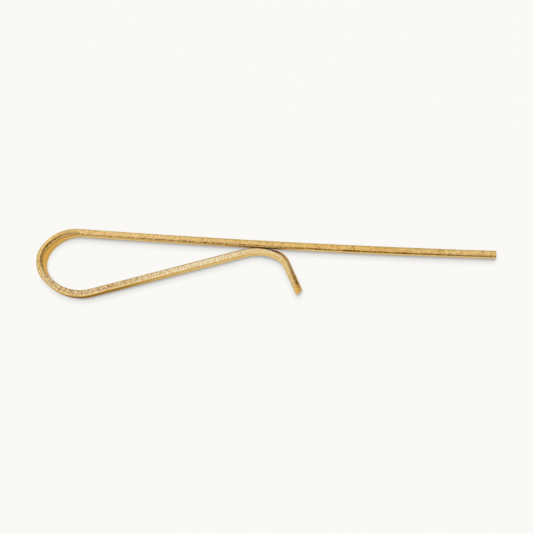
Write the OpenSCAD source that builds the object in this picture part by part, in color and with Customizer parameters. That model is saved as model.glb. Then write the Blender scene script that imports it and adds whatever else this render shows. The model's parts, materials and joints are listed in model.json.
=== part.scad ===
// Tie clip bent from one length of flat brass strip.
// The clip lies on its edge: X runs along the bar, +Y is the side seen when worn,
// and Z is the width of the strip. All sizes are in millimetres.

/* [Strip] */
// Thickness of the flat strip
strip_t = 0.81; // [0.6:0.01:1.1]
// Width of the strip, which is how tall the clip lies on its edge
strip_w = 5; // [4:0.1:8]
// Radius that eases the four long edges of the strip
edge_r = 0.2; // [0.05:0.01:0.28]

/* [Front bar] */
// Straight-line length of the bar from the bow to its cut end
bar_len = 48.5; // [38:0.5:60]
// How far the middle of the bar curves in towards the arm
bar_sag = 0.25; // [0.1:0.05:0.8]

/* [Spring bow] */
// Centreline radius of the shoulder beside the bar
front_shoulder_r = 4.8; // [4.2:0.05:6]
// Angle that the front shoulder turns through
front_shoulder_angle = 57.5; // [50:0.5:65]
// Centreline radius of the tight nose
nose_r = 2.85; // [2.3:0.05:3.5]
// Angle that the nose turns through
nose_angle = 81.5; // [70:0.5:90]
// Centreline radius of the shoulder beside the arm
back_shoulder_r = 5.25; // [4.5:0.05:6.5]

/* [Grip arm] */
// Angle at which the arm rises to meet the bar
arm_angle = 17.5; // [15:0.1:22]
// Centreline radius of the crown that bears on the bar
crown_r = 5.65; // [4:0.05:8]
// Angle that the crown turns through
crown_angle = 29; // [25:0.5:35]
// Clearance between the crown and the bar at rest
nip_gap = 0.03; // [0.02:0.01:0.1]

/* [Lift tail] */
// Centreline radius of the bend from the crown down to the tail
tail_bend_r = 3.65; // [2.5:0.05:5]
// Angle at which the tail falls away from the bar
tail_angle = 62; // [45:0.5:70]
// Straight length of the tail beyond its bend
tail_len = 2.9; // [1.5:0.1:6]

/* [Hidden] */

brass = [0.84, 0.68, 0.42];

// Longest facet along a bend, and the fewest facets in a full turn of one
facet_len = 0.25;
fewest_facets = 24;

// Radius and half angle of the arc that the bar follows
bar_r = bar_len * bar_len / (8 * bar_sag) + bar_sag / 2;
bar_half_angle = asin(bar_len / 2 / bar_r);

// The strip's route is a chain of runs, each leaving where the last one ended and
// in the same direction. A place on it is [x, y, heading], heading in degrees from +X.
function ahead(h) = [cos(h), sin(h)];
function leftward(h) = [-sin(h), cos(h)];
function spot(p) = [p.x, p.y];
function bend_centre(p, r, angle) = spot(p) + sign(angle) * r * leftward(p.z);
function after_run(p, len) =
    let (q = spot(p) + len * ahead(p.z))
    [q.x, q.y, p.z];
function after_bend(p, r, angle) =
    let (q = bend_centre(p, r, angle) - sign(angle) * r * leftward(p.z + angle))
    [q.x, q.y, p.z + angle];

// Bar: it starts at the bow, and curves to the left as seen from above
bar_start = [0, 0, -bar_half_angle];
bar_centre = bend_centre(bar_start, bar_r, 1);

// Bow: front shoulder, nose and back shoulder, all bending to the left
bow_start = [0, 0, 180 - bar_half_angle];
nose_start = after_bend(bow_start, front_shoulder_r, front_shoulder_angle);
// The flex line crosses the nose where the strip runs square to the bar
flex_angle = 270 - nose_start.z;
flex_spot = after_bend(nose_start, nose_r, flex_angle);
back_start = after_bend(flex_spot, nose_r, nose_angle - flex_angle);
back_shoulder_angle = 360 + arm_angle - back_start.z;
arm_start = after_bend(back_start, back_shoulder_r, back_shoulder_angle);

// Arm: just long enough for the crown to reach the bar's inner face. The centres of
// the crown and of the bar's arc lie this far apart when nip_gap is left between them.
seat_dist = bar_r + strip_t + nip_gap + crown_r;
reach_from = bend_centre(arm_start, crown_r, -1) - bar_centre;
reach_along = reach_from * ahead(arm_start.z);
reach_spare = reach_from * reach_from - seat_dist * seat_dist;
arm_len = -reach_along - sqrt(reach_along * reach_along - reach_spare);

// Crown and tail, both bending to the right
crown_start = after_run(arm_start, arm_len);
tail_bend_start = after_bend(crown_start, crown_r, -crown_angle);
tail_bend_angle = arm_angle + tail_angle - crown_angle;
tail_start = after_bend(tail_bend_start, tail_bend_r, -tail_bend_angle);
tail_end = after_run(tail_start, tail_len);

// Box round the whole clip in plan, whose middle is the part's origin
left_x = bend_centre(nose_start, nose_r, 1).x - nose_r - strip_t / 2;
right_x = bar_len + strip_t / 2 * sin(bar_half_angle);
top_y = bend_centre(bow_start, front_shoulder_r, 1).y + front_shoulder_r + strip_t / 2;
bow_low_y = bend_centre(back_start, back_shoulder_r, 1).y - back_shoulder_r - strip_t / 2;
tail_low_y = tail_end.y - strip_t / 2 * abs(cos(tail_end.z));
low_y = min(bow_low_y, tail_low_y);
plan_middle = [(left_x + right_x) / 2, (top_y + low_y) / 2];

function facets(r) = max(fewest_facets, ceil(2 * PI * r / facet_len));

// Section of the strip: X across its thickness, centred, and Y up its width
module strip_section() {
    corner_x = strip_t / 2 - edge_r;
    translate([-corner_x, 0])
        square([2 * corner_x, strip_w]);
    translate([-strip_t / 2, edge_r])
        square([strip_t, strip_w - 2 * edge_r]);
    for (x = [-corner_x, corner_x], y = [edge_r, strip_w - edge_r])
        translate([x, y])
            circle(edge_r, $fn = fewest_facets);
}

// Straight run of strip that leaves the origin along +X
module run(len) {
    rotate([90, 0, 90])
        linear_extrude(len)
            strip_section();
}

// Bend of strip that leaves the origin along +X and curves to the left
module bend_left(r, angle) {
    translate([0, r, 0])
        rotate_extrude(angle = angle, start = -90, $fn = facets(r))
            translate([r, 0])
                strip_section();
}

// The same bend, curving to the right
module bend_right(r, angle) {
    mirror([0, 1, 0])
        bend_left(r, angle);
}

// Turns a run or a bend round, so that it comes up to the origin instead of leaving it
module behind() {
    mirror([1, 0, 0])
        children();
}

// Moves what is drawn at the origin to a place on the route, in the colour of the strip
module at_place(p) {
    color(brass)
        translate([p.x - plan_middle.x, p.y - plan_middle.y, 0])
            rotate(p.z)
                children();
}

// Long bar that shows on the front of the tie
module front_bar() {
    at_place(bar_start)
        bend_left(bar_r, 2 * bar_half_angle);
}

// Front half of the spring bow, as far as the flex line
module bow_front() {
    at_place(nose_start) {
        behind()
            bend_left(front_shoulder_r, front_shoulder_angle);
        bend_left(nose_r, flex_angle);
    }
}

// Back half of the spring bow, from the flex line to the arm
module bow_back() {
    at_place(back_start) {
        behind()
            bend_left(nose_r, nose_angle - flex_angle);
        bend_left(back_shoulder_r, back_shoulder_angle);
    }
}

// Straight arm behind the tie, and the crown that presses the cloth to the bar
module grip_arm() {
    at_place(crown_start) {
        behind()
            run(arm_len);
        bend_right(crown_r, crown_angle);
    }
}

// Turned-out end that lets the clip slide over the cloth
module lift_tail() {
    at_place(tail_start) {
        behind()
            bend_right(tail_bend_r, tail_bend_angle);
        run(tail_len);
    }
}

front_bar();
bow_front();
bow_back();
grip_arm();
lift_tail();
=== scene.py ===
# Tie clip bent from one length of flat brass strip, laid on its edge on a pale table.
# The strip is made straight as a blank, tooled, cut in three, and then bent to its route.
import json
import math

import bpy
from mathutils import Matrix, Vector


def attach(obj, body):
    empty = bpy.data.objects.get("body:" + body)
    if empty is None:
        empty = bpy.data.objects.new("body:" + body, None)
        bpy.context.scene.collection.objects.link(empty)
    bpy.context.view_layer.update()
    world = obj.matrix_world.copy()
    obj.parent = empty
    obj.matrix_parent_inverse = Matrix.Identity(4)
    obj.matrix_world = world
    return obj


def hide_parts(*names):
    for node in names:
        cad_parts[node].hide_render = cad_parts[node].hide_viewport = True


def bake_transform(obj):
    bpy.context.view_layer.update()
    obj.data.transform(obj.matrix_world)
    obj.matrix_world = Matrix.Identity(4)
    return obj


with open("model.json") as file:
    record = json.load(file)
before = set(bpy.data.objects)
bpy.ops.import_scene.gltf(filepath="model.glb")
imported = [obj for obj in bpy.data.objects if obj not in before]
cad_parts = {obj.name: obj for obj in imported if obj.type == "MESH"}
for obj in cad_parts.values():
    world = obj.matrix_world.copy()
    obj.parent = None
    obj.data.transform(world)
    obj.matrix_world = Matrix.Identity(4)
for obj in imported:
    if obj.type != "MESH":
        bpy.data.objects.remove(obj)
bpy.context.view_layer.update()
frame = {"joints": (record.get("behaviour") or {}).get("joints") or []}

mm = 0.001  # the strip is made in millimetres, and scaled to metres once it is bent

view = {
    "place": (18.487, -8.892, 418.093),  # millimetres
    "turn": (1.4736, 2.4643, 3.0963),  # degrees
    "lens": 240.2,
    "near": 0.01,  # metres
    "far": 10,
}


def addCamera():
    lens = bpy.data.cameras.new("photoView")
    lens.lens = view["lens"]
    lens.clip_start = view["near"]
    lens.clip_end = view["far"]
    camera = bpy.data.objects.new("photoView", lens)
    camera.location = Vector(view["place"]) * mm
    camera.rotation_euler = [math.radians(angle) for angle in view["turn"]]
    bpy.context.scene.collection.objects.link(camera)
    bpy.context.scene.camera = camera


addCamera()
print("camera placed")

# The route of the strip, from the bar's free end round the bow to the tail. A bend is
# (radius, angle), and an angle over zero turns to the left as seen from above.
route = {
    "barLength": 48.5,
    "barSag": 0.25,
    "frontShoulder": (4.8, 57.5),
    "nose": (2.85, 81.5),
    "backShoulder": (5.25, 59.6813),
    "armRun": 18.41,
    "crown": (6.8, -31.4),
    "tailBend": (2.28, -48.8),
    "tailRun": 3.66,
    "step": 0.1,  # between two points of the route
    "leanOut": 1.6,  # degrees that the bow leans out beside the bar
    "leanIn": 2.8,  # and in beside the arm
    "leanTail": 3.0,  # degrees that the tail's bend leans towards the bar
    "leanLate": 2.5,  # how late along the crown that lean comes in
    "leanLast": 2,  # and how late along the tail's bend it goes again
}


def routeLegs():
    # each leg is its name, its length and its turn in radians
    barRadius = route["barLength"] ** 2 / (8 * route["barSag"]) + route["barSag"] / 2
    barTurn = 2 * math.asin(route["barLength"] / 2 / barRadius)
    legs = [("bar", barRadius * barTurn, -barTurn)]
    for name in ("frontShoulder", "nose", "backShoulder"):
        radius, angle = route[name]
        legs.append((name, radius * math.radians(angle), math.radians(angle)))
    legs.append(("armRun", route["armRun"], 0))
    for name in ("crown", "tailBend"):
        radius, angle = route[name]
        legs.append((name, -radius * math.radians(angle), math.radians(angle)))
    legs.append(("tailRun", route["tailRun"], 0))
    return legs


legs = routeLegs()
stripLength = sum(length for name, length, turn in legs)
barEnd = legs[0][1]
armStart = sum(length for name, length, turn in legs[:4])


def leanAt(name, share):
    # the bar and the arm stand upright, and the bends are twisted a little
    out = math.radians(route["leanOut"])
    into = math.radians(route["leanIn"])
    if name == "frontShoulder":
        return out * math.sin(share * math.pi / 2)
    if name == "nose":
        return (out - into + (out + into) * math.cos(share * math.pi)) / 2
    if name == "backShoulder":
        return -into * math.cos(share * math.pi / 2)
    if name == "crown":
        return math.radians(route["leanTail"]) * share ** route["leanLate"]
    if name == "tailBend":
        return math.radians(route["leanTail"]) * (1 - share ** route["leanLast"])
    return 0


def routePoints():
    place, heading, points = Vector((0, 0, 0)), math.pi - legs[0][2] / 2, []
    for name, length, turn in legs:
        steps = max(2, round(length / route["step"]))
        half = turn / steps / 2
        chord = length / steps * (math.sin(half) / half if turn else 1)
        for i in range(steps):
            points.append((place, leanAt(name, i / steps)))
            heading += half
            place = place + chord * Vector((math.cos(heading), math.sin(heading), 0))
            heading += half
    points.append((place, 0))
    return points


strip = {
    "thick": 0.81,
    "wide": 5.0,
    "corner": 0.2,  # radius of the four long edges
    "cornerCuts": 6,
    "edgeCuts": 7,  # across an edge of the strip
    "faceCuts": 17,  # up a broad face
    "lengthCuts": (87, 16),  # the second divides each length that the first leaves
    "endEase": 0.06,
    "endCuts": 2,
    "slack": 0.001,  # how far off a length may be and still count
    "straight": 0.99,  # how much of an edge's length has to lie along an axis
    "weld": 0.00001,
    "smoothAngle": 35,  # degrees
}


def pickEdges(piece, test):
    # selects, in edit mode, the edges that pass the test, which is given their two ends
    bpy.ops.object.mode_set(mode="EDIT")
    bpy.ops.mesh.select_mode(type="EDGE")
    bpy.ops.mesh.select_all(action="DESELECT")
    bpy.ops.object.mode_set(mode="OBJECT")
    places = [v.co for v in piece.data.vertices]
    for edge in piece.data.edges:
        edge.select = test([places[i] for i in edge.vertices])
    bpy.ops.object.mode_set(mode="EDIT")


def edgeAlong(axis, length=None):
    # a test for edges that run along one axis, of one length if it is given
    def test(ends):
        way = ends[1] - ends[0]
        if abs(way[axis]) <= strip["straight"] * way.length:
            return False
        return length is None or abs(way.length - length) < strip["slack"]
    return test


def makeBlank():
    bpy.ops.object.select_all(action="DESELECT")
    bpy.ops.mesh.primitive_cube_add(size=1, location=(stripLength / 2, 0, 0))
    blank = bpy.context.object
    blank.name = "blank"
    blank.scale = (stripLength, strip["thick"], strip["wide"])
    bpy.ops.object.transform_apply(location=True, rotation=False, scale=True)
    pickEdges(blank, edgeAlong(0))
    bpy.ops.mesh.bevel(offset=strip["corner"], segments=strip["cornerCuts"], affect="EDGES")
    pickEdges(blank, lambda ends: abs(ends[0].x - ends[1].x) < strip["slack"])
    bpy.ops.mesh.bevel(offset=strip["endEase"], segments=strip["endCuts"], affect="EDGES")
    pickEdges(blank, edgeAlong(1, strip["thick"] - 2 * strip["corner"]))
    bpy.ops.mesh.subdivide(number_cuts=strip["edgeCuts"])
    pickEdges(blank, edgeAlong(2, strip["wide"] - 2 * strip["corner"]))
    bpy.ops.mesh.subdivide(number_cuts=strip["faceCuts"])
    for cuts in strip["lengthCuts"]:
        pickEdges(blank, edgeAlong(0))
        bpy.ops.mesh.subdivide(number_cuts=cuts)
    bpy.ops.object.mode_set(mode="OBJECT")
    print("blank made straight,", len(blank.data.vertices), "points")
    return blank


# How the blank is tooled: sizes in millimetres, across from -0.4 outside to 0.4 inside
tooling = {
    "grainSize": 0.16,
    "grainDepth": 0.022,
    "grainFrom": 0.05,  # how far in from the outer face the grain begins
    "scoreAt": 0.26,  # the scored line beside the inner face
    "scoreHalf": 0.1,
    "scoreSize": 0.16,
    "scoreLong": 3.0,  # how many times longer a nick is across the strip than along it
    "scoreDepth": 0.045,
    "rippleSize": 2.6,  # the faint waves of the broad faces
    "rippleLong": 4.0,
    "rippleDepth": 0.007,
    "faceEase": 0.02,
    "tipCut": 0.3,  # how much shorter the tail's end is cut on its inner side
    "tipReach": 0.6,
}


def weigh(piece, name, where):
    group = piece.vertex_groups.new(name=name)
    for v in piece.data.vertices:
        weight = where(v.co)
        if weight > 0:
            group.add([v.index], weight, "REPLACE")


def dent(piece, name, size, depth, where, stretch):
    # cloud noise pushes the points of one group into the metal
    weigh(piece, name, where)
    clouds = bpy.data.textures.new(name, "CLOUDS")
    clouds.noise_scale = size
    clouds.noise_depth = 1
    ruler = bpy.data.objects.new(name + "Ruler", None)
    ruler.scale = stretch
    bpy.context.scene.collection.objects.link(ruler)
    bpy.context.view_layer.update()
    push = piece.modifiers.new(name, "DISPLACE")
    push.texture = clouds
    push.texture_coords = "OBJECT"
    push.texture_coords_object = ruler
    push.vertex_group = name
    push.strength = depth
    push.mid_level = 0.5
    bpy.context.view_layer.objects.active = piece
    bpy.ops.object.modifier_apply(modifier=name)
    bpy.data.objects.remove(ruler)


def smoothStep(value, low, high):
    t = min(1, max(0, (value - low) / (high - low)))
    return t * t * (3 - 2 * t)


def toolBlank(blank):
    top = strip["wide"] / 2
    side = strip["thick"] / 2

    def onEdge(p):
        # comes in over the first two thirds of a corner
        return smoothStep(abs(p.z), top - strip["corner"], top - strip["corner"] / 3)

    def onGrain(p):
        # the outer corner stays smooth
        inward = p.y + side
        return onEdge(p) * smoothStep(inward, tooling["grainFrom"], strip["corner"])

    def onScore(p):
        off = abs(p.y - tooling["scoreAt"])
        return onEdge(p) * (1 - smoothStep(off, 0, tooling["scoreHalf"]))

    def onFace(p):
        return smoothStep(abs(p.y), side - tooling["faceEase"], side) * (1 - onEdge(p))

    nick = (1, tooling["scoreLong"], tooling["scoreLong"])
    wave = (1, 1, tooling["rippleLong"])
    for name, where, stretch in (
        ("grain", onGrain, (1, 1, 1)),
        ("score", onScore, nick),
        ("ripple", onFace, wave),
    ):
        dent(blank, name, tooling[name + "Size"], tooling[name + "Depth"], where, stretch)

    def onTip(p):
        reach = smoothStep(p.x, stripLength - tooling["tipReach"], stripLength)
        return reach * (p.y + side) / strip["thick"]

    weigh(blank, "tip", onTip)
    cut = blank.modifiers.new("tip", "DISPLACE")
    cut.direction = "X"
    cut.vertex_group = "tip"
    cut.mid_level = 0
    cut.strength = -tooling["tipCut"]
    bpy.ops.object.modifier_apply(modifier="tip")
    print("blank tooled")


def bendCurve():
    points = routePoints()
    nose = min((place for place, lean in points), key=lambda place: place.x)
    hinge = Vector(frame["joints"][0]["pos_m"]) / mm
    # the flex line lies on the nose's outer face, and the route is the strip's middle line
    shift = hinge - nose
    shift.x += strip["thick"] / 2
    shift.z = strip["wide"] / 2
    data = bpy.data.curves.new("stripRoute", "CURVE")
    data.dimensions = "3D"
    data.twist_mode = "Z_UP"
    line = data.splines.new("POLY")
    line.points.add(len(points) - 1)
    for spot, (place, lean) in zip(line.points, points):
        spot.co = (*(place + shift), 1)
        spot.tilt = lean
    curve = bpy.data.objects.new("stripRoute", data)
    bpy.context.scene.collection.objects.link(curve)
    return curve


def cutAt(piece, x, keepHigh):
    # cuts the blank across, throws away one side and closes the cut
    bpy.context.view_layer.objects.active = piece
    bpy.ops.object.mode_set(mode="EDIT")
    bpy.ops.mesh.select_all(action="SELECT")
    bpy.ops.mesh.bisect(
        plane_co=(x, 0, 0),
        plane_no=(1, 0, 0),
        use_fill=True,
        clear_inner=keepHigh,
        clear_outer=not keepHigh,
        threshold=strip["weld"],
    )
    bpy.ops.object.mode_set(mode="OBJECT")


def makePiece(blank, curve, name, start, end):
    piece = bpy.data.objects.new(name, blank.data.copy())
    bpy.context.scene.collection.objects.link(piece)
    bpy.ops.object.select_all(action="DESELECT")
    piece.select_set(True)
    if start > 0:
        cutAt(piece, start, True)
    if end < stripLength:
        cutAt(piece, end, False)
    # each point keeps its place on the straight blank, for the finish to follow
    place = piece.data.attributes.new("stripPlace", "FLOAT_VECTOR", "POINT")
    place.data.foreach_set("vector", [c for v in piece.data.vertices for c in v.co])
    bpy.context.view_layer.objects.active = piece
    bend = piece.modifiers.new("bend", "CURVE")
    bend.object = curve
    bend.deform_axis = "POS_X"
    bpy.ops.object.modifier_apply(modifier=bend.name)
    piece.scale = (mm, mm, mm)
    bpy.ops.object.transform_apply(location=False, rotation=False, scale=True)
    bpy.ops.object.shade_smooth_by_angle(angle=math.radians(strip["smoothAngle"]))
    print(name, "cut and bent,", len(piece.data.polygons), "faces")
    return piece


blank = makeBlank()
toolBlank(blank)
curve = bendCurve()
frontBar = makePiece(blank, curve, "frontBar", 0, barEnd)
springBow = makePiece(blank, curve, "springBow", barEnd, armStart)
gripArm = makePiece(blank, curve, "gripArm", armStart, stripLength)
bpy.data.objects.remove(blank)
bpy.data.objects.remove(curve)


def addNode(tree, kind, at, **values):
    node = tree.nodes.new(kind)
    node.location = at
    for name, value in values.items():
        setattr(node, name, value)
    return node


def groupWith(name, inputs, outputs):
    tree = bpy.data.node_groups.new(name, "ShaderNodeTree")
    for socket, kind, start in inputs:
        made = tree.interface.new_socket(socket, in_out="INPUT", socket_type=kind)
        if start is not None:
            made.default_value = start
    for socket, kind in outputs:
        tree.interface.new_socket(socket, in_out="OUTPUT", socket_type=kind)
    given = addNode(tree, "NodeGroupInput", (-900, 0))
    result = addNode(tree, "NodeGroupOutput", (900, 0))
    return tree, given, result


def bandNode(tree, at, source, low, high, top=1.0, bottom=0.0):
    # eased step of a value from bottom at low to top at high
    node = addNode(tree, "ShaderNodeMapRange", at, interpolation_type="SMOOTHSTEP")
    node.inputs["From Min"].default_value = low
    node.inputs["From Max"].default_value = high
    node.inputs["To Min"].default_value = bottom
    node.inputs["To Max"].default_value = top
    tree.links.new(source, node.inputs["Value"])
    return node.outputs["Result"]


def mathNode(tree, at, operation, first, second=None):
    node = addNode(tree, "ShaderNodeMath", at, operation=operation)
    for socket, value in zip(node.inputs, (first, second)):
        if value is None:
            continue
        if isinstance(value, (int, float)):
            socket.default_value = value
        else:
            tree.links.new(value, socket)
    return node.outputs[0]


# Where the strip's zones begin and end, in millimetres across it. Each pair is where a
# zone has faded out and where it is in full.
zoneBands = {
    "edgeEase": 0.05,  # below the top of the strip
    "smoothShift": 0.03,  # the smooth band is reckoned from this far outside the strip
    "rough": (0, 0.06),  # in from the smooth band
    "innerCorner": (0.40, 0.34),
    "innerHalf": (-0.2, 0.0),
    "rim": (0.24, 0.14),  # in from the smooth band
    "outside": (0.1, -0.1),
    "score": (1.15, 0.55),  # in half widths of the scored line
}


def zonesGroup():
    # masks of the strip's zones, from a point's place on the straight blank
    tree, given, result = groupWith(
        "stripZones",
        [
            ("Place", "NodeSocketVector", None),
            ("Score Middle", "NodeSocketFloat", 0.25),
            ("Score Half", "NodeSocketFloat", 0.1),
            ("Smooth Band", "NodeSocketFloat", 0.0),
        ],
        [
            ("Edge", "NodeSocketFloat"),
            ("Score", "NodeSocketFloat"),
            ("Inner Half", "NodeSocketFloat"),
            ("Outer Rim", "NodeSocketFloat"),
            ("Outer Face", "NodeSocketFloat"),
        ],
    )
    split = addNode(tree, "ShaderNodeSeparateXYZ", (-700, 0))
    tree.links.new(given.outputs["Place"], split.inputs[0])
    across = split.outputs["Y"]
    height = mathNode(tree, (-500, -200), "ABSOLUTE", split.outputs["Z"])
    top = strip["wide"] / 2
    flat = top - zoneBands["edgeEase"]
    edge = bandNode(tree, (-300, -200), height, top - strip["corner"], flat)
    # the corners of the strip are smooth, and the outer one over a band that changes
    outermost = strip["thick"] / 2 + zoneBands["smoothShift"]
    fromBand = mathNode(tree, (-500, 400), "ADD", across, outermost)
    band = given.outputs["Smooth Band"]
    fromBand = mathNode(tree, (-400, 400), "SUBTRACT", fromBand, band)
    rough = bandNode(tree, (-100, 500), fromBand, *zoneBands["rough"])
    edge = mathNode(tree, (0, -200), "MULTIPLY", edge, rough)
    corner = bandNode(tree, (0, -400), across, *zoneBands["innerCorner"])
    edge = mathNode(tree, (100, -200), "MULTIPLY", edge, corner)
    off = mathNode(tree, (-500, 0), "SUBTRACT", across, given.outputs["Score Middle"])
    off = mathNode(tree, (-400, 0), "ABSOLUTE", off)
    off = mathNode(tree, (-300, 0), "DIVIDE", off, given.outputs["Score Half"])
    line = bandNode(tree, (-100, 0), off, *zoneBands["score"])
    inner = bandNode(tree, (-100, 200), across, *zoneBands["innerHalf"])
    rim = bandNode(tree, (-100, 400), fromBand, *zoneBands["rim"])
    outside = bandNode(tree, (-100, 600), across, *zoneBands["outside"])
    tree.links.new(edge, result.inputs["Edge"])
    tree.links.new(outside, result.inputs["Outer Face"])
    for mask, name in ((line, "Score"), (inner, "Inner Half"), (rim, "Outer Rim")):
        both = mathNode(tree, (300, 0), "MULTIPLY", edge, mask)
        tree.links.new(both, result.inputs[name])
    return tree


grainNoise = {"Detail": 1.5, "Roughness": 0.5}


def grainGroup():
    # noise at a size in millimetres, which can be drawn out along, across and up the strip
    tree, given, result = groupWith(
        "tooledGrain",
        [
            ("Place", "NodeSocketVector", None),
            ("Size", "NodeSocketFloat", 0.2),
            ("Along", "NodeSocketFloat", 1.0),
            ("Across", "NodeSocketFloat", 1.0),
            ("Up", "NodeSocketFloat", 1.0),
            ("Low", "NodeSocketFloat", 0.4),
            ("High", "NodeSocketFloat", 0.6),
        ],
        [("Value", "NodeSocketFloat"), ("Fleck", "NodeSocketFloat")],
    )
    ways = addNode(tree, "ShaderNodeCombineXYZ", (-700, -200))
    for name, socket in zip(("Along", "Across", "Up"), ways.inputs):
        tree.links.new(given.outputs[name], socket)
    drawn = addNode(tree, "ShaderNodeVectorMath", (-500, 0), operation="DIVIDE")
    tree.links.new(given.outputs["Place"], drawn.inputs[0])
    tree.links.new(ways.outputs[0], drawn.inputs[1])
    scale = mathNode(tree, (-500, -300), "DIVIDE", 1.0, given.outputs["Size"])
    noise = addNode(tree, "ShaderNodeTexNoise", (-300, 0))
    for name, value in grainNoise.items():
        noise.inputs[name].default_value = value
    tree.links.new(drawn.outputs[0], noise.inputs["Vector"])
    tree.links.new(scale, noise.inputs["Scale"])
    fleck = addNode(tree, "ShaderNodeMapRange", (0, 0), interpolation_type="SMOOTHSTEP")
    tree.links.new(noise.outputs["Fac"], fleck.inputs["Value"])
    tree.links.new(given.outputs["Low"], fleck.inputs["From Min"])
    tree.links.new(given.outputs["High"], fleck.inputs["From Max"])
    tree.links.new(noise.outputs["Fac"], result.inputs["Value"])
    tree.links.new(fleck.outputs["Result"], result.inputs["Fleck"])
    return tree


zones = zonesGroup()
grain = grainGroup()

# Finish of each piece. Colours are linear, sizes in millimetres, and a list gives what
# changes along the strip, by distance from the bar's free end: colours or numbers.
# score: its weight, its middle across the strip and its half width. Its dark colour is grime
# in the scored groove and partly painted shade of the inner corner.
# outer: width of the smooth band, weight of the rim's colour, a painted highlight of the
# rounded outer corner in the bow and arm, and of the mottling.
# work: weight of the inner ticks, and of the hatching on the inner and on the outer face.
barFinish = {
    "edge": (
        (0, (0.79, 0.54, 0.20)),
        (5, (0.78, 0.545, 0.22)),
        (14, (0.77, 0.49, 0.15)),
        (24, (0.79, 0.53, 0.185)),
        (32, (0.80, 0.54, 0.21)),
        (44, (0.84, 0.58, 0.24)),
    ),
    "rim": (
        (0, (0.47, 0.37, 0.20)),
        (16, (0.49, 0.38, 0.165)),
        (24, (0.55, 0.40, 0.16)),
        (32, (0.50, 0.36, 0.14)),
        (44, (0.60, 0.50, 0.28)),
    ),
    # inner face tone; from 24 mm it is raised to full brightness, painted light against the
    # shade by the nip
    "innerFaceAndPaintedLight": (
        (0, (0.84, 0.60, 0.27)),
        (18, (0.84, 0.60, 0.27)),
        (24, (1.0, 0.78, 0.38)),
        (44, (1.0, 0.76, 0.36)),
        (48, (0.96, 0.68, 0.28)),
    ),
    "outerFaceAndPaintedShade": ((0, (0.77, 0.53, 0.19)), (48, (0.77, 0.53, 0.19))),
    "score": (
        (0, (1.0, 0.29, 0.12)),
        (12, (1.0, 0.285, 0.12)),
        (20, (1.0, 0.26, 0.11)),
        (25, (0.85, 0.215, 0.085)),
        (34, (0.95, 0.19, 0.09)),
        (47, (0.75, 0.2, 0.075)),
    ),
    "outer": ((0, (0.0, 0.6, 1.0)), (8, (0.0, 0.6, 1.0)), (47, (0.0, 0.5, 0.8))),
    "work": ((0, (0.15, 0.35, 0.28)), (48, (0.15, 0.35, 0.28))),
    "dullFace": ((0, 0.0), (48, 0.0)),  # what the outer face adds to its roughness
    "scoreGrimeAndShade": (0.13, 0.043, 0.002),
    "rimTick": 0.45,  # weight of the ticks on the outer rim
    "dashLong": 0.9,
    "dashGap": 0.42,  # how much of the score is left between two dashes
    "hatchSize": 0.07,
    "hatchTint": (0.78, 0.66, 0.46),
    "shadeTint": (0.78, 0.66, 0.46),
    # the pale flecks on the edge are painted glints
    "glintHighlightTint": (1.12, 1.2, 1.5),
}
bowFinish = dict(
    barFinish,
    edge=(
        (48.5, (0.78, 0.54, 0.22)),
        (50, (0.66, 0.43, 0.15)),
        (52, (0.84, 0.57, 0.22)),
        (54.5, (0.78, 0.54, 0.21)),
        (56.4, (0.77, 0.57, 0.29)),
        (58.5, (0.78, 0.60, 0.31)),
        (60, (0.76, 0.55, 0.28)),
        (62.8, (0.78, 0.60, 0.32)),
    ),
    # rim: a painted highlight along the rounded outer corner
    rim=(
        (48.5, (0.66, 0.50, 0.25)),
        (50, (0.66, 0.46, 0.18)),
        (52, (0.86, 0.59, 0.23)),
        (54.5, (0.61, 0.45, 0.165)),
        (57, (0.64, 0.47, 0.18)),
        (59, (0.85, 0.60, 0.25)),
        (62.8, (0.94, 0.68, 0.27)),
    ),
    innerFaceAndPaintedLight=(
        (48.5, (0.92, 0.64, 0.24)),
        (51, (0.74, 0.44, 0.08)),
        (56, (0.72, 0.42, 0.07)),
        (59, (0.70, 0.46, 0.15)),
        (62.8, (0.70, 0.50, 0.24)),
    ),
    # outer face tone; darkened where the bow runs into the arm, painted shade and dark
    # reflection
    outerFaceAndPaintedShade=(
        (48.5, (0.77, 0.53, 0.19)),
        (57, (0.64, 0.43, 0.15)),
        (60, (0.28, 0.15, 0.03)),
        (61.5, (0.18, 0.065, 0.004)),
        (62.8, (0.32, 0.13, 0.006)),
    ),
    # along the bow the dark band is heavier, partly painted shade of the edge's inner half
    score=(
        (48.5, (0.7, 0.17, 0.08)),
        (50, (0.8, 0.08, 0.08)),
        (51.2, (0.9, 0.08, 0.12)),
        (53, (1.0, 0.085, 0.16)),
        (54.5, (1.0, 0.15, 0.17)),
        (56, (0.6, 0.27, 0.10)),
        (57.2, (0.0, 0.2, 0.08)),
        (57.8, (0.35, 0.03, 0.07)),
        (62.8, (0.3, 0.02, 0.06)),
    ),
    outer=(
        (48.5, (0.0, 0.4, 0.8)),
        (51, (0.0, 0.8, 0.7)),
        (57, (0.0, 0.9, 1.0)),
        (60, (0.02, 1.0, 1.0)),
        (62.8, (0.05, 1.0, 1.0)),
    ),
    work=(
        (48.5, (0.3, 0.5, 0.35)),
        (52, (0.1, 0.6, 0.3)),
        (54.5, (0.2, 0.6, 0.2)),
        (58, (0.65, 0.4, 0.15)),
        (62.8, (0.7, 0.3, 0.2)),
    ),
    dullFace=((48.5, 0.0), (58, 0.0), (61, 0.24), (62.8, 0.24)),
    scoreGrimeAndShade=(0.17, 0.07, 0.007),
    rimTick=0.1,
    dashLong=1.0,
    dashGap=0.75,
    hatchSize=0.1,
)
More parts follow.
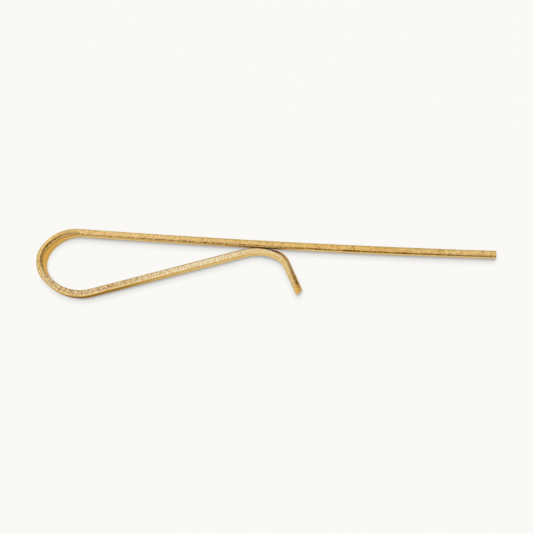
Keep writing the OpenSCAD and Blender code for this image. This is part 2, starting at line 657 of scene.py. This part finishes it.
armFinish = dict(
    barFinish,
    edge=(
        (62.8, (0.78, 0.60, 0.32)),
        (66, (0.78, 0.58, 0.30)),
        (71, (0.91, 0.73, 0.43)),
        (77, (0.90, 0.76, 0.49)),
        (82, (0.83, 0.65, 0.36)),
        (85, (0.86, 0.69, 0.37)),
        (87, (0.80, 0.60, 0.29)),
        (89.5, (0.70, 0.49, 0.20)),
        (89.9, (0.78, 0.45, 0.11)),
    ),
    rim=(
        (62.8, (0.94, 0.68, 0.27)),
        (72, (0.90, 0.63, 0.26)),
        (78, (0.86, 0.60, 0.22)),
        (82, (0.82, 0.57, 0.20)),
        (84.5, (0.76, 0.48, 0.12)),
        (87, (0.76, 0.52, 0.20)),
        (90.4, (0.70, 0.54, 0.28)),
    ),
    # inner face tone; lighter where the crown meets the bar as painted light, and dark
    # towards the tail as painted dark reflection
    innerFaceAndPaintedLight=(
        (62.8, (0.70, 0.50, 0.24)),
        (79, (0.70, 0.50, 0.24)),
        (82, (0.84, 0.64, 0.32)),
        (84.5, (0.84, 0.62, 0.30)),
        (86, (0.63, 0.36, 0.09)),
        (87.5, (0.53, 0.29, 0.06)),
        (89.7, (0.47, 0.25, 0.045)),
        (90.1, (0.80, 0.47, 0.12)),
    ),
    # outer face tone; dark at first as painted shade and dark reflection, then brighter
    # along the arm as painted reflection on one flat face
    outerFaceAndPaintedShade=(
        (62.8, (0.32, 0.13, 0.006)),
        (66, (0.34, 0.16, 0.012)),
        (70, (0.64, 0.39, 0.09)),
        (76, (0.88, 0.60, 0.20)),
        (84, (0.88, 0.62, 0.22)),
        (90.4, (0.86, 0.64, 0.30)),
    ),
    score=(
        (62.8, (0.3, 0.02, 0.06)),
        (67.5, (0.3, 0.02, 0.06)),
        (68, (0.0, 0.05, 0.06)),
        (69, (0.0, 0.3, 0.08)),
        (70.5, (0.22, 0.32, 0.09)),
        (81, (0.3, 0.33, 0.08)),
        (84, (0.4, 0.34, 0.06)),
        (86, (0.6, 0.32, 0.10)),
        (88, (0.95, 0.25, 0.18)),
        (89.8, (0.95, 0.24, 0.20)),
        (90.05, (0.0, 0.2, 0.2)),
    ),
    outer=(
        (62.8, (0.05, 1.0, 1.0)),
        (67, (0.09, 0.9, 1.0)),
        (73, (0.13, 0.5, 0.9)),
        (80, (0.14, 0.2, 0.6)),
        (83.5, (0.18, 0.6, 0.6)),
        (85, (0.25, 1.0, 0.6)),
        (87, (0.08, 0.8, 0.6)),
        (90.4, (0.02, 0.8, 0.6)),
    ),
    work=(
        (62.8, (0.7, 0.3, 0.08)),
        (70, (0.6, 0.3, 0.1)),
        (76, (0.4, 0.3, 0.15)),
        (84, (0.3, 0.5, 0.2)),
        (87, (0.3, 1.0, 0.3)),
        (90.4, (0.3, 1.0, 0.3)),
    ),
    dullFace=((62.8, 0.24), (67, 0.24), (71, 0.0)),
    scoreGrimeAndShade=(0.20, 0.085, 0.012),
    rimTick=0.2,
    dashLong=1.0,
    dashGap=0.6,
    hatchSize=0.11,
    hatchTint=(0.50, 0.39, 0.24),
)


# The grain of each mark, and what the brass has in common all over
marks = {
    "pits": {"Size": 0.17, "Across": 1.6, "Low": 0.38, "High": 0.52},
    "glints": {"Size": 0.15, "Across": 1.3, "Low": 0.52, "High": 0.66},
    "hatch": {"Up": 40.0, "Low": 0.36, "High": 0.64},
    "dashes": {"Size": 0.15, "Across": 2.5, "Low": 0.4, "High": 0.56},
    "streaks": {"Size": 1.4, "Low": 0.3, "High": 0.6},
    "ticks": {"Size": 0.115, "Across": 3.5, "Low": 0.5, "High": 0.59},
}
brass = {
    "specularTint": (0.94, 0.74, 0.34),
    "edgeRough": 0.32,
    "faceRough": 0.38,
    "hatchGloss": 0.1,  # how much glossier the lines of the hatching are
    "streakGap": 0.8,  # how much of the score is left between two streaks
    "bumpStrength": 0.6,
    "bumpDepth": 0.02,  # millimetres
    "hatchBump": 0.25,  # height of the hatching beside that of the pits
}


def mixColour(tree, at, amount, first, second, blend="MIX"):
    node = addNode(tree, "ShaderNodeMix", at, data_type="RGBA", blend_type=blend)
    tree.links.new(amount, node.inputs["Factor"])
    for name, value in (("A", first), ("B", second)):
        if isinstance(value, tuple):
            node.inputs[name].default_value = (*value, 1)
        else:
            tree.links.new(value, node.inputs[name])
    return node.outputs["Result"]


def alongNode(tree, at, along, stops):
    node = addNode(tree, "ShaderNodeValToRGB", at)
    ramp = node.color_ramp
    ramp.elements.remove(ramp.elements[1])
    ramp.elements[0].position = stops[0][0] / stripLength
    ramp.elements[0].color = (*stops[0][1], 1)
    for spot, value in stops[1:]:
        ramp.elements.new(spot / stripLength).color = (*value, 1)
    tree.links.new(along, node.inputs["Fac"])
    return node.outputs["Color"]


def alongValues(tree, at, along, stops):
    # three numbers that change along the strip
    node = addNode(tree, "ShaderNodeSeparateColor", (at[0] + 200, at[1]))
    tree.links.new(alongNode(tree, at, along, stops), node.inputs[0])
    return [node.outputs[name] for name in ("Red", "Green", "Blue")]


def alongNumber(tree, at, along, stops):
    # one number that changes along the strip
    return alongNode(tree, at, along, [(spot, (value,) * 3) for spot, value in stops])


def placeGroup(tree, group, at, place, **values):
    node = addNode(tree, "ShaderNodeGroup", at, node_tree=group)
    tree.links.new(place, node.inputs["Place"])
    for name, value in values.items():
        node.inputs[name].default_value = value
    return node


def stripMaterial(name, finish):
    made = bpy.data.materials.new(name)
    made.use_nodes = True
    tree = made.node_tree
    metal = tree.nodes["Principled BSDF"]
    metal.inputs["Metallic"].default_value = 1
    metal.inputs["Specular Tint"].default_value = (*brass["specularTint"], 1)
    place = addNode(tree, "ShaderNodeAttribute", (-2100, 0), attribute_name="stripPlace")
    place = place.outputs["Vector"]
    split = addNode(tree, "ShaderNodeSeparateXYZ", (-1900, 300))
    tree.links.new(place, split.inputs[0])
    along = mathNode(tree, (-1700, 300), "DIVIDE", split.outputs["X"], stripLength)

    def grainOf(mark, at, **values):
        made = placeGroup(tree, grain, at, place, **marks[mark], **values)
        return made.outputs["Fleck"]

    edgeTone = alongNode(tree, (-1500, 900), along, finish["edge"])
    # the inner face tone carries painted light by the nip and painted dark reflection at the
    # tail
    innerToneAndLight = alongNode(tree, (-1500, 700), along, finish["innerFaceAndPaintedLight"])
    # the outer face tone carries painted shade and reflection where the bow runs into the
    # arm
    outerToneAndShade = alongNode(tree, (-1500, 500), along, finish["outerFaceAndPaintedShade"])
    rimToneAndHighlight = alongNode(tree, (-1500, -300), along, finish["rim"])
    scoreWeight, scoreMiddle, scoreHalf = alongValues(
        tree, (-1500, 300), along, finish["score"]
    )
    smoothBand, rimWeight, mottle = alongValues(
        tree, (-1500, 100), along, finish["outer"]
    )
    tickWeight, innerHatch, outerHatch = alongValues(
        tree, (-1500, -100), along, finish["work"]
    )
    zone = placeGroup(tree, zones, (-1100, 300), place)
    tree.links.new(scoreMiddle, zone.inputs["Score Middle"])
    tree.links.new(scoreHalf, zone.inputs["Score Half"])
    tree.links.new(smoothBand, zone.inputs["Smooth Band"])
    zone = zone.outputs

    # mottled edge: small dark flecks and pale flecks on the tone of that stretch; the pale
    # flecks are painted glints
    pits = placeGroup(tree, grain, (-1100, 0), place, **marks["pits"]).outputs
    glints = grainOf("glints", (-1100, -200))
    rim = mathNode(tree, (-900, 100), "MULTIPLY", zone["Outer Rim"], rimWeight)
    dull = mathNode(tree, (-900, 0), "SUBTRACT", 1.0, pits["Fleck"])
    dull = mathNode(tree, (-800, 0), "MULTIPLY", dull, mottle)
    bright = mathNode(tree, (-800, -200), "MULTIPLY", glints, mottle)
    # the rim's colour is a painted highlight along the rounded outer corner in the bow and
    # arm
    edge = mixColour(tree, (-700, 500), rim, edgeTone, rimToneAndHighlight)
    edge = mixColour(tree, (-600, 500), dull, edge, finish["shadeTint"], "MULTIPLY")
    edge = mixColour(tree, (-500, 500), bright, edge, finish["glintHighlightTint"], "MULTIPLY")

    # broad faces: fine hatching across the strip
    hatch = grainOf("hatch", (-1100, -400), Size=finish["hatchSize"])
    hatchWeight = addNode(tree, "ShaderNodeMix", (-900, -450))
    tree.links.new(zone["Outer Face"], hatchWeight.inputs["Factor"])
    tree.links.new(innerHatch, hatchWeight.inputs["A"])
    tree.links.new(outerHatch, hatchWeight.inputs["B"])
    hatched = hatchWeight.outputs["Result"]
    hatched = mathNode(tree, (-800, -400), "MULTIPLY", hatch, hatched)
    face = mixColour(tree, (-600, 200), zone["Outer Face"], innerToneAndLight, outerToneAndShade)
    face = mixColour(tree, (-500, 200), hatched, face, finish["hatchTint"], "MULTIPLY")
    colour = mixColour(tree, (-400, 300), zone["Edge"], face, edge)

    # the dark scored line, grime in the groove and partly painted shade of the inner corner,
    # is broken into dashes and longer streaks
    dashes = grainOf("dashes", (-1100, -600), Along=finish["dashLong"])
    dashes = bandNode(tree, (-900, -600), dashes, 0, 1, 1, finish["dashGap"])
    streaks = grainOf("streaks", (-1100, -800))
    streaks = bandNode(tree, (-900, -800), streaks, 0, 1, 1, brass["streakGap"])
    broken = mathNode(tree, (-800, -600), "MULTIPLY", dashes, streaks)
    score = mathNode(tree, (-700, -600), "MULTIPLY", zone["Score"], scoreWeight)
    score = mathNode(tree, (-600, -600), "MULTIPLY", score, broken)

    # ticks run out from it across the edge, and nick the outer rim
    ticks = grainOf("ticks", (-1100, -1000))
    tick = mathNode(tree, (-800, -1000), "MULTIPLY", ticks, zone["Inner Half"])
    tick = mathNode(tree, (-700, -1000), "MULTIPLY", tick, tickWeight)
    tick = mathNode(tree, (-600, -1000), "MULTIPLY", tick, mottle)
    rimTick = mathNode(tree, (-800, -1150), "MULTIPLY", ticks, rim)
    rimTick = mathNode(tree, (-700, -1150), "MULTIPLY", rimTick, finish["rimTick"])
    tick = mathNode(tree, (-550, -1000), "MAXIMUM", tick, rimTick)
    dark = mathNode(tree, (-500, -700), "MAXIMUM", score, tick)
    # score and ticks darken the colour: grime, and partly painted shade along the inner
    # corner
    colour = mixColour(tree, (-200, 0), dark, colour, finish["scoreGrimeAndShade"])
    tree.links.new(colour, metal.inputs["Base Color"])

    # the hatching lies in lines of a little more and a little less gloss, and the outer face
    # is duller where the bow runs into the arm
    gloss = bandNode(tree, (-400, -400), zone["Edge"], 0, 1, 0, brass["hatchGloss"])
    gloss = mathNode(tree, (-300, -400), "MULTIPLY", gloss, hatch)
    edgeRough, faceRough = brass["edgeRough"], brass["faceRough"]
    rough = bandNode(tree, (-400, -300), zone["Edge"], 0, 1, edgeRough, faceRough)
    rough = mathNode(tree, (-200, -300), "SUBTRACT", rough, gloss)
    dullFace = alongNumber(tree, (-1500, -500), along, finish["dullFace"])
    dullFace = mathNode(tree, (-400, -200), "MULTIPLY", dullFace, zone["Outer Face"])
    offEdge = bandNode(tree, (-400, -100), zone["Edge"], 0, 1, 0, 1)
    dullFace = mathNode(tree, (-300, -200), "MULTIPLY", dullFace, offEdge)
    rough = mathNode(tree, (-100, -300), "ADD", rough, dullFace)
    tree.links.new(rough, metal.inputs["Roughness"])
    bump = addNode(tree, "ShaderNodeBump", (-200, -600))
    bump.inputs["Strength"].default_value = brass["bumpStrength"]
    bump.inputs["Distance"].default_value = brass["bumpDepth"] * mm
    height = mathNode(tree, (-500, -900), "MULTIPLY", pits["Value"], zone["Edge"])
    lines = mathNode(tree, (-500, -1050), "MULTIPLY", hatched, brass["hatchBump"])
    height = mathNode(tree, (-400, -900), "ADD", height, lines)
    tree.links.new(height, bump.inputs["Height"])
    tree.links.new(bump.outputs["Normal"], metal.inputs["Normal"])
    return made


for piece, name, finish in (
    (frontBar, "barBrass", barFinish),
    (springBow, "bowBrass", bowFinish),
    (gripArm, "armBrass", armFinish),
):
    piece.data.materials.clear()
    piece.data.materials.append(stripMaterial(name, finish))
print("brass finished")

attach(frontBar, "bar_side")
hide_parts("front_bar")
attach(gripArm, "arm_side")
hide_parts("grip_arm", "lift_tail")
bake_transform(springBow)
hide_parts("bow_front", "bow_back")

studio = {
    "table": (0.956, 0.947, 0.913),
    "tableSize": 2.0,
    "tableShow": 0.42,  # how much of the table's paleness shows in the deepest shadow
    # each lamp: its place, its width in metres and its power in watts
    "lamps": {"key": ((0.0, 0.08, 2.0), 0.16, 21), "fill": ((0.0, 0.2, 2.0), 0.44, 19)},
    "darkSide": (0.8, -0.6, 0.0),  # the side of the room that is left dim
    "darkFrom": (0.15, 0.85),  # how far towards that side it starts to dim and is dimmest
    "darkShare": 0.45,
}


def addStudio():
    bpy.ops.object.select_all(action="DESELECT")
    bpy.ops.mesh.primitive_plane_add(size=studio["tableSize"], location=(0, 0, 0))
    table = bpy.context.object
    table.name = "table"
    made = bpy.data.materials.new("paleTable")
    made.use_nodes = True
    tree = made.node_tree
    cloth = tree.nodes["Principled BSDF"]
    cloth.inputs["Base Color"].default_value = (*studio["table"], 1)
    cloth.inputs["Roughness"].default_value = 1
    cloth.inputs["Specular IOR Level"].default_value = 0
    paleness = addNode(tree, "ShaderNodeEmission", (0, -600))
    paleness.inputs["Color"].default_value = (*studio["table"], 1)
    both = addNode(tree, "ShaderNodeMixShader", (300, 0))
    both.inputs[0].default_value = studio["tableShow"]
    tree.links.new(cloth.outputs[0], both.inputs[1])
    tree.links.new(paleness.outputs[0], both.inputs[2])
    tree.links.new(both.outputs[0], tree.nodes["Material Output"].inputs["Surface"])
    table.data.materials.append(made)

    # the room shows pale to the camera and in the metal, and one side of it is dimmer there
    world = bpy.data.worlds.new("studio")
    bpy.context.scene.world = world
    world.use_nodes = True
    tree = world.node_tree
    room = tree.nodes["Background"]
    rays = addNode(tree, "ShaderNodeLightPath", (-900, 0))
    isCamera = rays.outputs["Is Camera Ray"]
    shade = mixColour(tree, (-300, 200), isCamera, (1.0, 1.0, 1.0), studio["table"])
    tree.links.new(shade, room.inputs["Color"])
    way = addNode(tree, "ShaderNodeTexCoord", (-900, -400))
    toSide = addNode(tree, "ShaderNodeVectorMath", (-700, -400), operation="DOT_PRODUCT")
    tree.links.new(way.outputs["Generated"], toSide.inputs[0])
    toSide.inputs[1].default_value = studio["darkSide"]
    towards = toSide.outputs["Value"]
    start, end = studio["darkFrom"]
    dim = bandNode(tree, (-500, -400), towards, start, end, studio["darkShare"], 1)
    isGlossy = rays.outputs["Is Glossy Ray"]
    isThrough = rays.outputs["Is Transmission Ray"]
    shine = mathNode(tree, (-600, -100), "MAXIMUM", isGlossy, isThrough)
    shine = mathNode(tree, (-300, -200), "MULTIPLY", shine, dim)
    shine = mathNode(tree, (-150, -100), "MAXIMUM", shine, isCamera)
    tree.links.new(shine, room.inputs["Strength"])

    for name, (place, size, power) in studio["lamps"].items():
        light = bpy.data.lights.new(name, "AREA")
        light.shape = "DISK"
        light.size = size
        light.energy = power
        lamp = bpy.data.objects.new(name, light)
        lamp.location = place
        lamp.rotation_euler = (-Vector(place)).to_track_quat("-Z", "Y").to_euler()
        lamp.visible_glossy = False
        bpy.context.scene.collection.objects.link(lamp)
    for piece in (frontBar, springBow, gripArm):
        piece.visible_diffuse = False  # so the metal throws no colour on the table


addStudio()
bpy.context.scene.view_settings.view_transform = "Standard"
print("studio lit")
